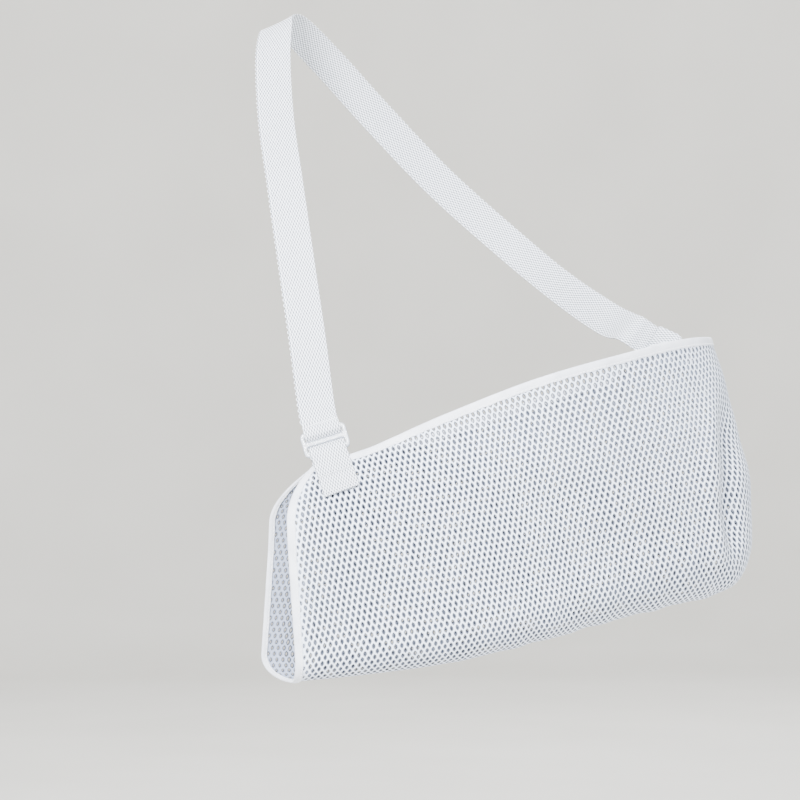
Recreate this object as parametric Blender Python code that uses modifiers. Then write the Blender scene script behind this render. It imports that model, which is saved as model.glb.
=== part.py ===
"""Arm sling: a mesh pouch for the forearm, hung from an adjustable webbing strap over the other shoulder.

Metres, +Z up. The origin is the underside of the strap where it rests on the shoulder. -Y is the wearer's
front, and +X runs along the forearm from the hand to the elbow. The soft parts are in their worn shape.
"""

import math

import bmesh
import bpy
from mathutils import Matrix, Vector

# Driving dimensions.
GAP = 0.0003  # clearance between pieces that touch
MESH_THICK = 0.0012
TAPE_THICK = 0.0006
TAPE_WIDTH = 0.008
THREAD_R = 0.0003
WEB_WIDTH = 0.030
WEB_THICK = 0.0015

# Pouch: stations from the hand (first) to the elbow seam (last), evenly spaced along the forearm. Each is
# the middle plane at the mouth (x, y) and at the bottom (x, y), the half gap between the panels, the share
# of it left at the mouth, the mouth's height in front and behind, the fold's height, and its rounding.
STATIONS = (
    (0.0145, -0.168, 0.0175, -0.160, 0.019, 0.12, -0.377, -0.377, -0.5520, 0.020),
    (0.0750, -0.176, 0.0800, -0.172, 0.027, 0.09, -0.362, -0.366, -0.5445, 0.028),
    (0.1400, -0.170, 0.1480, -0.168, 0.033, 0.50, -0.3345, -0.350, -0.5350, 0.034),
    (0.2050, -0.148, 0.2150, -0.146, 0.037, 0.85, -0.306, -0.332, -0.5205, 0.038),
    (0.2660, -0.110, 0.2820, -0.108, 0.039, 1.00, -0.286, -0.316, -0.5050, 0.042),
    (0.3180, -0.060, 0.3460, -0.058, 0.040, 1.00, -0.2725, -0.300, -0.4935, 0.045),
    (0.3480, 0.004, 0.3950, 0.000, 0.040, 1.00, -0.273, -0.273, -0.4870, 0.046),
)
NOSE_U, NOSE_W = 0.78, 0.86  # where the panels start to turn round the elbow
WALL_V = 0.78  # share of a panel's height above the rounded bottom
CORNER_X, CORNER_T, CORNER_W = 0.021, 0.30, 0.40  # the hand opening's rounded top corner
FRONT_SHIFT, REAR_SHIFT, SHIFT_W = -0.0045, -0.0175, 0.30  # the rear edge shows past the front one
ELBOW_BULGE, BULGE_W = 0.012, 0.62
TAPE_U, TAPE_V, SEAM_U = 0.021, 0.036, 0.016  # grid lines under the tapes
GRID_U, GRID_V = 26, 14
FRONT, REAR = -1, 1

# Slider: three bars and two slots, 38 x 22 x 3 mm, in its own axes about its centre.
SLIDER_SIZE = (0.038, 0.003, 0.022)
BAR_PITCH, BAR_HEIGHT = 0.009, 0.004
SLOT_LENGTH = 0.0315
LOWER_BAR = Vector((0.0465, -0.1705, -0.3645))  # axis of the bar that the tab holds
STRAP_OUT, PASS_END_Y = -0.0027, 0.0060  # the strap before the top bar, and behind the lower one
SLIDER_ROLL, SLIDER_LEAN = math.radians(17), math.radians(20)

# Tab: webbing folded over the slider's lower bar and sewn through both panels.
TAB_LEAN = math.radians(20)
TAB_DROP = 0.034
LOOP_R = 0.0036
SEWN_OFFSET = 0.00345  # webbing centre to panel centre, over a tape and its thread
TAIL_LEAN = math.radians(10)
TAIL_START, TAIL_LENGTH, HEM_LENGTH = 0.0034, 0.125, 0.022
PATCH_ABOVE, PATCH_BELOW = 0.008, 0.028
PATCH_U, PATCH_ARC, PATCH_SLANT = 0.94, 0.27, math.radians(45)  # metres per unit of u at the elbow
PIVOT_GAP = 0.0046  # room for the strap's end to turn at the elbow corner

# Strap centre line from the slider over the shoulder to the elbow corner, with the face's outward normal.
STRAP_FRONT = (
    (0.0355, -0.1565, -0.322, 0.0, -1.0, 0.35),
    (0.0292, -0.1490, -0.275, 0.0, -1.0, 0.33),
    (0.0191, -0.1290, -0.209, 0.0, -1.0, 0.33),
    (0.0087, -0.1030, -0.141, 0.0, -1.0, 0.42),
    (0.0007, -0.0745, -0.089, -0.06, -1.0, 0.60),
    (-0.0035, -0.0390, -0.036, -0.16, -1.0, 0.95),
)
STRAP_BACK = (
    (-0.0025, -0.0150, -0.0070, -0.35, -0.60, 1.0),
    (0.0, 0.0, 0.00075, -0.45, 0.00, 0.9),
    (0.0120, 0.0220, 0.0000, -0.42, 0.35, 0.9),
    (0.0420, 0.0600, -0.0270, -0.25, 0.80, 0.65),
    (0.0850, 0.0900, -0.0720, -0.12, 1.00, 0.42),
    (0.1400, 0.1080, -0.1280, 0.05, 1.00, 0.25),
    (0.2000, 0.1040, -0.1820, 0.25, 1.00, 0.12),
    (0.2480, 0.0750, -0.2240, 0.50, 0.85, 0.00),
    (0.2860, 0.0340, -0.2530, 0.40, 0.85, -0.25),
)
STRAP_STEPS = 5


# ---------------------------------------------------------------- shapes


def spline(rows, w):
    """Catmull-Rom value at w, from 0 to 1, over evenly spaced rows of numbers."""
    last = len(rows) - 1
    i = min(max(int(w * last), 0), last - 1)
    t = w * last - i
    b, c = rows[i], rows[i + 1]
    a = rows[i - 1] if i else [2 * p - q for p, q in zip(b, c)]
    d = rows[i + 2] if i + 2 <= last else [2 * q - p for p, q in zip(b, c)]
    return [
        q + 0.5 * ((r - p) * t + (2 * p - 5 * q + 4 * r - s) * t**2 + (3 * q - p - 3 * r + s) * t**3)
        for p, q, r, s in zip(a, b, c, d)
    ]


def middle(w, t):
    """Plan point of the pouch's middle plane, at w along the forearm and t down the wall."""
    row = spline(STATIONS, w)
    corner = CORNER_X * max(0.0, 1 - t / CORNER_T) ** 2 * max(0.0, 1 - w / CORNER_W) ** 2
    return Vector((row[0] * (1 - t) + row[2] * t + corner, row[1] * (1 - t) + row[3] * t))


def panel(u, v, side):
    """Point of a panel's centre surface. u runs from the hand to the elbow seam, v from mouth to fold."""
    turn = max(0.0, (u - NOSE_U) / (1 - NOSE_U)) * math.pi / 2
    w = min(u / NOSE_U, 1.0) * NOSE_W + (1 - NOSE_W) * math.sin(turn)
    t = min(v / WALL_V, 1.0)
    under = max(0.0, (v - WALL_V) / (1 - WALL_V)) * math.pi / 2
    row = spline(STATIONS, w)
    step = 0.001
    along = middle(min(w + step, 1.0), t) - middle(min(w + step, 1.0) - 2 * step, t)
    normal = Vector((along.y, -along.x)).normalized()
    spread = row[5] + (1 - row[5]) * math.sin(math.pi / 2 * min(max(t / 0.5, 0.0), 1.0))
    plan = middle(w, t) - side * normal * row[4] * spread * math.cos(turn)
    shift = FRONT_SHIFT * (1 - 0.9 * t) if side == FRONT else REAR_SHIFT
    fade = max(0.0, 1 - w / SHIFT_W) ** 2 * math.sin(math.pi / 2 * min(max(t / CORNER_T, 0.0), 1.0))
    plan.x += shift * fade
    plan.x += ELBOW_BULGE * math.sin(math.pi * t) * max(0.0, (w - BULGE_W) / (1 - BULGE_W)) ** 2
    mouth = row[6] if side == FRONT else row[7]
    z = mouth + (row[8] + row[9] - mouth) * t
    if under > 0:
        w_spine = min(w, NOSE_W)
        spine = middle(w_spine, 1.0)
        z_spine = spline(STATIONS, w_spine)[8]
        plan = spine + (plan - spine) * math.cos(under)
        z = z_spine + (z - z_spine) * (1 - math.sin(under))
    return Vector((plan.x, plan.y, z))


def outward(u, v, side):
    """Unit normal of a panel, pointing out of the pouch."""
    step = 0.002
    v0 = min(v, 0.985 if u > NOSE_U else 1 - step)
    across = panel(u + step, v0, side) - panel(u - step, v0, side)
    down = panel(u, v0 + step, side) - panel(u, v0 - step, side)
    return (side * across.cross(down)).normalized()


def find_on_panel(x, z, side):
    """The (u, v) of the panel point seen at (x, z) from the front, kept to the panel."""
    u, v, step = 0.1, 0.2, 0.002
    for _ in range(14):
        here = panel(u, v, side)
        du = (panel(u + step, v, side) - here) / step
        dv = (panel(u, v + step, side) - here) / step
        det = du.x * dv.z - du.z * dv.x
        ex, ez = x - here.x, z - here.z
        u = min(max(u + (ex * dv.z - ez * dv.x) / det, 0.0), 0.6)
        v = min(max(v + (du.x * ez - du.z * ex) / det, 0.0), WALL_V)
    return u, v


def over_panel(x, z, side, offset):
    """The point seen at (x, z) from the front that stands offset outside the panel."""
    u, v = find_on_panel(x, z, side)
    depth = offset / max(abs(outward(u, v, side).y), 0.5)
    return Vector((x, panel(u, v, side).y + side * depth, z))


def grid_lines(count, first, last):
    """Parameters from 0 to 1 with extra lines at first and 1 - last, where tapes end."""
    end = 1 - last
    inner = [first + (end - first) * k / count for k in range(count + 1)]
    return [0.0, 0.4 * first] + inner + ([1.0] if last else [])


U_LINES = grid_lines(GRID_U, TAPE_U, SEAM_U)
V_LINES = grid_lines(GRID_V, TAPE_V, 0.0)


# ---------------------------------------------------------------- objects


def clear_scene():
    for obj in list(bpy.data.objects):
        bpy.data.objects.remove(obj, do_unlink=True)


def make_collection(name, helper=False):
    collection = bpy.data.collections.new(name)
    bpy.context.scene.collection.children.link(collection)
    collection.hide_render = helper
    return collection


def make_material(name, colour, roughness, alpha=1.0):
    material = bpy.data.materials.new(name)
    material.use_nodes = True
    shader = material.node_tree.nodes["Principled BSDF"]
    shader.inputs["Base Color"].default_value = (*colour, 1.0)
    shader.inputs["Roughness"].default_value = roughness
    shader.inputs["Metallic"].default_value = 0.0
    shader.inputs["Alpha"].default_value = alpha
    return material


def add_mesh(name, points, faces, material, home):
    mesh = bpy.data.meshes.new(name)
    mesh.from_pydata(points, [], faces)
    mesh.materials.append(material)
    work = bmesh.new()
    work.from_mesh(mesh)
    bmesh.ops.remove_doubles(work, verts=work.verts, dist=0.000002)
    bmesh.ops.recalc_face_normals(work, faces=work.faces)
    work.to_mesh(mesh)
    work.free()
    obj = bpy.data.objects.new(name, mesh)
    home.objects.link(obj)
    return obj


def add_sheet(name, rows, thickness, material, home):
    """A closed sheet from rows of points, thickened about its centre surface."""
    width = len(rows[0])
    points = [p for row in rows for p in row]
    faces = [
        (i * width + j, i * width + j + 1, (i + 1) * width + j + 1, (i + 1) * width + j)
        for i in range(len(rows) - 1)
        for j in range(width - 1)
    ]
    obj = add_mesh(name, points, faces, material, home)
    solid = obj.modifiers.new("thickness", "SOLIDIFY")
    solid.thickness = thickness
    solid.offset = 0.0
    return obj


def add_thread(name, points, material, home, closed=False):
    """A sewing thread as a thin tube."""
    curve = bpy.data.curves.new(name, "CURVE")
    curve.dimensions = "3D"
    line = curve.splines.new("POLY")
    line.points.add(len(points) - 1)
    for place, point in zip(line.points, points):
        place.co = (*point, 1.0)
    line.use_cyclic_u = closed
    curve.bevel_depth = THREAD_R
    curve.bevel_resolution = 1
    curve.use_fill_caps = not closed
    curve.materials.append(material)
    obj = bpy.data.objects.new(name, curve)
    home.objects.link(obj)
    return obj


# ---------------------------------------------------------------- pouch


def add_pouch(material, home):
    """One mesh sheet, folded at the bottom and closed at the elbow."""
    points, faces = [], []
    columns = len(V_LINES)
    for side in (FRONT, REAR):
        base = len(points)
        points += [panel(u, v, side) for u in U_LINES for v in V_LINES]
        for i in range(len(U_LINES) - 1):
            for j in range(columns - 1):
                at = base + i * columns + j
                faces.append((at, at + 1, at + columns + 1, at + columns))
    obj = add_mesh("mesh_pouch", points, faces, material, home)
    solid = obj.modifiers.new("thickness", "SOLIDIFY")
    solid.thickness = MESH_THICK
    solid.offset = 0.0
    return obj


def mouth_section(u, side):
    """Edge point, direction into the panel, outward normal and tape width at the pouch's mouth."""
    edge = panel(u, 0.0, side)
    inward = panel(u, TAPE_V, side) - edge
    width = min(TAPE_WIDTH, inward.length)
    return edge, inward.normalized(), outward(u, 0.0, side), width


def hand_section(v, side):
    """The same four at the hand opening."""
    edge = panel(0.0, v, side)
    inward = panel(TAPE_U, v, side) - edge
    width = min(TAPE_WIDTH, inward.length)
    return edge, inward.normalized(), outward(0.0, v, side), width


def add_edge_tape(name, sections, material, home):
    """Tape folded over a panel's edge: a channel swept along the edge."""
    inner = MESH_THICK / 2 + GAP
    outer = inner + TAPE_THICK
    lip = GAP + TAPE_THICK
    points = []
    for edge, into, out, width in sections:
        profile = (
            (width, outer),
            (-lip, outer),
            (-lip, -outer),
            (width, -outer),
            (width, -inner),
            (-GAP, -inner),
            (-GAP, inner),
            (width, inner),
        )
        points += [edge + into * a + out * b for a, b in profile]
    n = len(profile)
    faces = []
    for i in range(len(sections) - 1):
        for j in range(n):
            k = (j + 1) % n
            faces.append((i * n + j, i * n + k, (i + 1) * n + k, (i + 1) * n + j))
    for at in (0, (len(sections) - 1) * n):
        for quad in ((0, 1, 6, 7), (1, 2, 5, 6), (2, 3, 4, 5)):
            faces.append(tuple(at + q for q in quad))
    return add_mesh(name, points, faces, material, home)


def tape_thread(sections):
    """Thread points near a tape's inner edge, on its outer face."""
    height = MESH_THICK / 2 + GAP + TAPE_THICK + GAP + THREAD_R
    return [edge + into * (width - 0.0015) + out * height for edge, into, out, width in sections]


def add_tapes(tape, thread, home):
    butt = TAPE_U + 0.006
    mouth_u = [butt] + [u for u in U_LINES if butt < u < 1] + [0.9992]
    for side, word in ((FRONT, "front"), (REAR, "rear")):
        sections = [mouth_section(u, side) for u in mouth_u]
        add_edge_tape("top_binding_" + word, sections, tape, home)
        add_thread("top_thread_" + word, tape_thread(sections), thread, home)
    sections = [hand_section(v, FRONT) for v in V_LINES]
    sections += [hand_section(v, REAR) for v in reversed(V_LINES[:-1])]
    add_edge_tape("hand_opening_binding", sections, tape, home)
    add_thread("hand_opening_thread", tape_thread(sections), thread, home)


def add_seam_tape(tape, thread, home):
    """Flat tape over the closed elbow end, from under the mouth's tape to the fold."""
    rise = MESH_THICK / 2 + GAP + TAPE_THICK / 2
    lines = [v for v in V_LINES if TAPE_V < v < 0.93]
    lines = [TAPE_V + 0.004] + lines
    rows = []
    for v in lines:
        places = ((1 - SEAM_U, FRONT), (1.0, FRONT), (1 - SEAM_U, REAR))
        rows.append([panel(u, v, side) + outward(u, v, side) * rise for u, side in places])
    add_sheet("elbow_seam_tape", rows, TAPE_THICK, tape, home)
    lift = rise + TAPE_THICK / 2 + GAP + THREAD_R
    add_thread("elbow_seam_thread", [panel(1, v, FRONT) + outward(1, v, FRONT) * lift for v in lines], thread, home)


# ---------------------------------------------------------------- slider, tab and strap


def slider_axes():
    """Rotation of the slider: x along its bars, y out of its back face, z up the strap."""
    across = Vector((math.cos(SLIDER_ROLL), 0.0, math.sin(SLIDER_ROLL)))
    up = Vector((-math.sin(SLIDER_ROLL) * math.cos(SLIDER_LEAN), math.sin(SLIDER_LEAN), 0.0))
    up.z = math.cos(SLIDER_ROLL) * math.cos(SLIDER_LEAN)
    return across, up.cross(across), up


def in_slider(x, y, z):
    """World point from the slider's own axes, measured from its centre."""
    across, back, up = slider_axes()
    return LOWER_BAR + up * BAR_PITCH + across * x + back * y + up * z


def add_block(name, size, centre, material, home):
    mesh = bpy.data.meshes.new(name)
    work = bmesh.new()
    bmesh.ops.create_cube(work, size=1.0)
    bmesh.ops.scale(work, vec=size, verts=work.verts)
    work.to_mesh(mesh)
    work.free()
    if material:
        mesh.materials.append(material)
    obj = bpy.data.objects.new(name, mesh)
    obj.location = centre
    home.objects.link(obj)
    return obj


def add_slider(material, home, helpers):
    plate = add_block("slider", SLIDER_SIZE, (0, 0, 0), material, home)
    round_corners = plate.modifiers.new("corners", "BEVEL")
    round_corners.width = 0.0012
    round_corners.segments = 3
    for k, offset in enumerate((0.5 * BAR_PITCH, -0.5 * BAR_PITCH)):
        size = (SLOT_LENGTH, 0.01, BAR_PITCH - BAR_HEIGHT)
        slot = add_block(f"slot_cutter_{k}", size, (0, 0, offset), None, helpers)
        slot.hide_render = True
        slot.display_type = "WIRE"
        cut = plate.modifiers.new("slot", "BOOLEAN")
        cut.operation = "DIFFERENCE"
        cut.object = slot
        slot.parent = plate
    across, back, up = slider_axes()
    turn = Matrix((across, back, up)).transposed().to_4x4()
    plate.matrix_world = Matrix.Translation(in_slider(0, 0, 0)) @ turn
    return plate


def add_slider_pass(material, home):
    """The strap's stretch through the slider: before the top bar, then behind the middle and lower ones."""
    route = (
        (STRAP_OUT, 0.0140),
        (STRAP_OUT, 0.0088),
        (-0.0022, 0.0064),
        (0.0, 0.0046),
        (0.0024, 0.0023),
        (-STRAP_OUT, 0.0003),
        (0.0032, -0.0022),
        (0.0047, -0.0056),
        (PASS_END_Y, -BAR_PITCH),
    )
    steps = 24
    rows = []
    for k in range(steps + 1):
        y, z = spline(route, k / steps)
        rows.append([in_slider(x, y, z) for x in (-WEB_WIDTH / 2, WEB_WIDTH / 2)])
    return add_sheet("strap_slider_pass", rows, WEB_THICK, material, home)


def across_points(centre, across, count, width=WEB_WIDTH):
    """Points from left to right across a strip."""
    return [centre + across * width * (k / (count - 1) - 0.5) for k in range(count)]


def add_tab(material, thread, home):
    """Webbing from the front panel, round the slider's lower bar, to the rear panel."""
    down = Vector((math.sin(TAB_LEAN), 0.0, -math.cos(TAB_LEAN)))
    right = Vector((math.cos(TAB_LEAN), 0.0, math.sin(TAB_LEAN)))
    drops = (TAB_DROP, 0.030, 0.026, 0.022, 0.018, 0.014, 0.011, 0.008, 0.006)

    def ply(side):
        rows = []
        for drop in drops:
            flat = across_points(LOWER_BAR + down * drop, right, 7)
            rows.append([over_panel(p.x, p.z, side, SEWN_OFFSET) for p in flat])
        return rows

    across, back, up = slider_axes()
    loop = []
    for k in range(9):
        angle = math.pi * (k / 8 - 0.5) * 1.1
        centre = LOWER_BAR + back * math.sin(angle) * LOOP_R + up * math.cos(angle) * LOOP_R
        loop.append(across_points(centre, across, 7))
    rows = ply(FRONT) + loop + ply(REAR)[::-1]
    add_sheet("anchor_tab", rows, WEB_THICK, material, home)
    add_tab_stitches(down, right, thread, home)


def add_tab_stitches(down, right, thread, home):
    """The rectangle of stitching on the front of the tab."""
    top, low, half = 0.016, TAB_DROP - 0.003, WEB_WIDTH / 2 - 0.0025
    corners = ((-half, top), (half, top), (half, low), (-half, low))
    points = []
    for (x0, d0), (x1, d1) in zip(corners, corners[1:] + corners[:1]):
        for k in range(5):
            place = LOWER_BAR + right * (x0 + (x1 - x0) * k / 5) + down * (d0 + (d1 - d0) * k / 5)
            points.append(over_panel(place.x, place.z, FRONT, SEWN_OFFSET + WEB_THICK / 2 + GAP + THREAD_R + 0.0002))
    add_thread("tab_thread", points, thread, home, closed=True)


def tail_point(drop, x, extra=0.0):
    """Point of the tail's centre surface, drop below the slider's lower bar and x across."""
    start = in_slider(0.0, PASS_END_Y, -BAR_PITCH)
    down = Vector((math.sin(TAIL_LEAN), 0.0, -math.cos(TAIL_LEAN)))
    right = Vector((math.cos(TAIL_LEAN), 0.0, math.sin(TAIL_LEAN)))
    flat = start + down * drop + right * x
    clear = SEWN_OFFSET + WEB_THICK + 2 * GAP + 2 * THREAD_R + 0.0006 + extra
    lying = over_panel(flat.x, flat.z, REAR, clear)
    blend = min(drop / 0.005, 1.0)
    flat.y += (lying.y - flat.y) * blend
    return flat


def add_tail(material, thread, home):
    """The strap's free end behind the pouch, and its sewn hem, which is double."""
    places = [k / 6 - 0.5 for k in range(7)]
    drops = [TAIL_START + (TAIL_LENGTH - TAIL_START) * k / 18 for k in range(19)]
    rows = [[tail_point(d, x * WEB_WIDTH) for x in places] for d in drops]
    add_sheet("strap_tail", rows, WEB_THICK, material, home)
    start = TAIL_LENGTH + 0.0008
    drops = [start + HEM_LENGTH * k / 3 for k in range(4)]
    rows = [[tail_point(d, x * WEB_WIDTH, 0.0010) for x in places] for d in drops]
    add_sheet("tail_hem", rows, 2 * WEB_THICK, material, home)
    lift = 0.0010 + WEB_THICK + GAP + THREAD_R + 0.0002
    line = [tail_point(start + 0.006, x * (WEB_WIDTH - 0.004), lift) for x in places]
    add_thread("tail_thread", line, thread, home)


def patch_point(a, s, offset):
    """Point over the rear panel's elbow corner: a across the strap's end and s down along it."""
    right = a * math.cos(PATCH_SLANT) + s * math.sin(PATCH_SLANT)
    drop = s * math.cos(PATCH_SLANT) - a * math.sin(PATCH_SLANT)
    u = PATCH_U + right / PATCH_ARC
    v = max(drop, 0.0) / 0.205 * WALL_V
    base = panel(u, v, REAR) + outward(u, v, REAR) * offset
    if drop < 0:
        up = (panel(u, 0.0, REAR) - panel(u, TAPE_V, REAR)).normalized()
        base -= up * drop
    return base


def add_patch(material, thread, home):
    """The strap's far end, sewn flat on the rear panel beside the elbow seam."""
    places = [(k / 8 - 0.5) * WEB_WIDTH for k in range(9)]
    runs = [-PATCH_ABOVE + (PATCH_ABOVE + PATCH_BELOW) * k / 8 for k in range(9)]
    rows = [[patch_point(a, s, SEWN_OFFSET) for a in places] for s in runs]
    add_sheet("strap_elbow_end", rows, WEB_THICK, material, home)
    lift = SEWN_OFFSET + WEB_THICK / 2 + GAP + THREAD_R + 0.0002
    half, top, low = WEB_WIDTH / 2 - 0.0025, 0.010, PATCH_BELOW - 0.003
    corners = ((-half, top), (half, top), (half, low), (-half, low))
    line = []
    for (a0, s0), (a1, s1) in zip(corners, corners[1:] + corners[:1]):
        line += [patch_point(a0 + (a1 - a0) * k / 6, s0 + (s1 - s0) * k / 6, lift) for k in range(6)]
    add_thread("elbow_end_thread", line, thread, home, closed=True)


def strap_rows(controls):
    """Rows of edge points along the strap, from centre line and face normal controls."""
    count = STRAP_STEPS * (len(controls) - 1)
    rows = []
    for k in range(count + 1):
        w, step = k / count, 0.002
        row = spline(controls, w)
        ahead = Vector(spline(controls, w + step)[:3]) - Vector(spline(controls, w - step)[:3])
        across = ahead.cross(Vector(row[3:])).normalized()
        rows.append(across_points(Vector(row[:3]), across, 2))
    return rows


def patch_frame():
    """Top centre of the strap's sewn end, the directions across and up it, and its outward normal."""
    left, right = (patch_point(a, -PATCH_ABOVE, SEWN_OFFSET) for a in (-WEB_WIDTH / 2, WEB_WIDTH / 2))
    top = (left + right) / 2
    across = (right - left).normalized()
    rise = patch_point(0.0, -PATCH_ABOVE, SEWN_OFFSET) - patch_point(0.0, 0.006 - PATCH_ABOVE, SEWN_OFFSET)
    rise = (rise - across * rise.dot(across)).normalized()
    return top, across, rise, rise.cross(across)


def turned(rows, across, count):
    """Rows whose last ones turn, a little more each, to lie along a given direction."""
    result = []
    for k, (left, right) in enumerate(rows):
        share = max(0.0, 1 - (len(rows) - 1 - k) / count)
        own = (right - left).normalized()
        result.append(across_points((left + right) / 2, (own + (across - own) * share).normalized(), 2))
    return result


def shortened(rows, gap):
    """Rows whose last one is moved back by a gap."""
    before, end = rows[-2:]
    return rows[:-1] + [[e + (b - e).normalized() * gap for b, e in zip(before, end)]]


def add_strap(material, home):
    """The strap in two lengths: the front run, and the stretch over the shoulder and down the back."""
    outer = tuple(-slider_axes()[1])
    entry = [(*in_slider(0.0, STRAP_OUT, z), *outer) for z in (0.0144, 0.0200)]
    top, patch_across, rise, normal = patch_frame()
    guide = (*(top + rise * 0.020 + normal * 0.003), *normal)
    last = (*(top + rise * PIVOT_GAP), *normal)
    rows = strap_rows(entry + list(STRAP_FRONT) + list(STRAP_BACK) + [guide, last])
    rows = turned(rows, patch_across, 12)
    split = STRAP_STEPS * (len(entry) + len(STRAP_FRONT) - 1)
    add_sheet("strap_front_run", shortened(rows[: split + 1], GAP), WEB_THICK, material, home)
    add_sheet("strap_over_shoulder", rows[split:], WEB_THICK, material, home)


def main():
    clear_scene()
    home = make_collection("arm_sling")
    helpers = make_collection("cutters", helper=True)
    mesh_white = make_material("mesh_fabric", (0.83, 0.86, 0.91), 0.85)
    tape_white = make_material("binding_tape", (0.87, 0.89, 0.94), 0.70)
    web_white = make_material("webbing", (0.88, 0.89, 0.92), 0.75)
    clear_plastic = make_material("slider_plastic", (0.90, 0.92, 0.95), 0.25, alpha=0.6)
    thread_white = make_material("thread", (0.86, 0.87, 0.90), 0.60)
    add_pouch(mesh_white, home)
    add_tapes(tape_white, thread_white, home)
    add_seam_tape(tape_white, thread_white, home)
    add_slider(clear_plastic, home, helpers)
    add_slider_pass(web_white, home)
    add_tab(web_white, thread_white, home)
    add_tail(web_white, thread_white, home)
    add_patch(web_white, thread_white, home)
    add_strap(web_white, home)


main()
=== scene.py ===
"""Arm sling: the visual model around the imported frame. Metres, +Z up, the wearer's front is -Y."""

import math

import bpy
import numpy as np
from mathutils import Matrix, Vector


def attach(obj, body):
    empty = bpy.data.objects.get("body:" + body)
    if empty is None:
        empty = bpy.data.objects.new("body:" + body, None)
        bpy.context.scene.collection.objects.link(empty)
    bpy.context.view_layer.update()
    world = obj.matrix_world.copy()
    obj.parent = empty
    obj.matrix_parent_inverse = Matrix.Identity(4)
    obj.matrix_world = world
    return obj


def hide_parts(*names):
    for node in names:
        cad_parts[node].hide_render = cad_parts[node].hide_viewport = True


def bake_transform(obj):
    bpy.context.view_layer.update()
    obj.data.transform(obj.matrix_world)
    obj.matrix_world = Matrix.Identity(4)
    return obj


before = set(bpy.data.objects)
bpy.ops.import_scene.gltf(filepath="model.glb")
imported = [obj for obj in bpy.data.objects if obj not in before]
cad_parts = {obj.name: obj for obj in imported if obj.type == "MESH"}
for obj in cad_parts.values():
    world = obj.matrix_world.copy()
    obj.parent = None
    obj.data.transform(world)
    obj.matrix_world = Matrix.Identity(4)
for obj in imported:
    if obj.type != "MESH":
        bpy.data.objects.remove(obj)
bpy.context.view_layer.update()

# -------- the part's own dimensions
# They repeat part.py's, so that the pieces made here lie where its solids do.

GAP = 0.0003  # clearance between pieces that touch
WEB_WIDTH, WEB_THICK = 0.030, 0.0015
FRONT, REAR = -1, 1

# Pouch: stations from the hand (first) to the elbow seam (last), evenly spaced along the forearm. Each is
# the middle plane at the mouth (x, y) and at the bottom (x, y), the half gap between the panels, the share
# of it left at the mouth, the mouth's height in front and behind, the fold's height, and its rounding.
STATIONS = (
    (0.0145, -0.168, 0.0175, -0.160, 0.019, 0.12, -0.377, -0.377, -0.5520, 0.020),
    (0.0750, -0.176, 0.0800, -0.172, 0.027, 0.09, -0.362, -0.366, -0.5445, 0.028),
    (0.1400, -0.170, 0.1480, -0.168, 0.033, 0.50, -0.3345, -0.350, -0.5350, 0.034),
    (0.2050, -0.148, 0.2150, -0.146, 0.037, 0.85, -0.306, -0.332, -0.5205, 0.038),
    (0.2660, -0.110, 0.2820, -0.108, 0.039, 1.00, -0.286, -0.316, -0.5050, 0.042),
    (0.3180, -0.060, 0.3460, -0.058, 0.040, 1.00, -0.2725, -0.300, -0.4935, 0.045),
    (0.3480, 0.004, 0.3950, 0.000, 0.040, 1.00, -0.273, -0.273, -0.4870, 0.046),
)
NOSE_U, NOSE_W = 0.78, 0.86  # where the panels start to turn round the elbow
WALL_V = 0.78  # share of a panel's height above the rounded bottom
CORNER_X, CORNER_T, CORNER_W = 0.021, 0.30, 0.40  # the hand opening's rounded top corner
ELBOW_BULGE, BULGE_W = 0.012, 0.62  # how far the elbow pushes the cloth out, and from where
TAPE_U, TAPE_V, SEAM_U = 0.021, 0.036, 0.016  # how far the tapes reach over the panels
PANEL_HEIGHT = 0.205  # about, at the elbow

# Slider: three bars and two slots, in its own axes about its centre.
SLIDER_SIZE = (0.038, 0.003, 0.022)
BAR_PITCH, BAR_HEIGHT, SLOT_LENGTH = 0.009, 0.004, 0.0315
LOWER_BAR = np.array((0.0465, -0.1705, -0.3645))  # axis of the bar that the tab holds
STRAP_OUT, PASS_END_Y = -0.0027, 0.0060  # the strap before the top bar, and behind the lower one
SLIDER_ROLL, SLIDER_LEAN = math.radians(17), math.radians(20)

# Tab, tail and the strap's sewn end, the patch.
TAB_LEAN, TAB_DROP, LOOP_R = math.radians(20), 0.034, 0.0036
SEWN_OFFSET = 0.00345  # webbing centre to panel centre, over a tape and its thread
TAIL_LEAN, TAIL_LENGTH, HEM_LENGTH = math.radians(10), 0.125, 0.022
PATCH_ABOVE, PATCH_BELOW = 0.008, 0.028
PATCH_U, PATCH_ARC, PATCH_SLANT = 0.94, 0.27, math.radians(45)  # metres per unit of u at the elbow
PIVOT_GAP = 0.0046  # room for the strap's end to turn at the elbow corner

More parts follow.
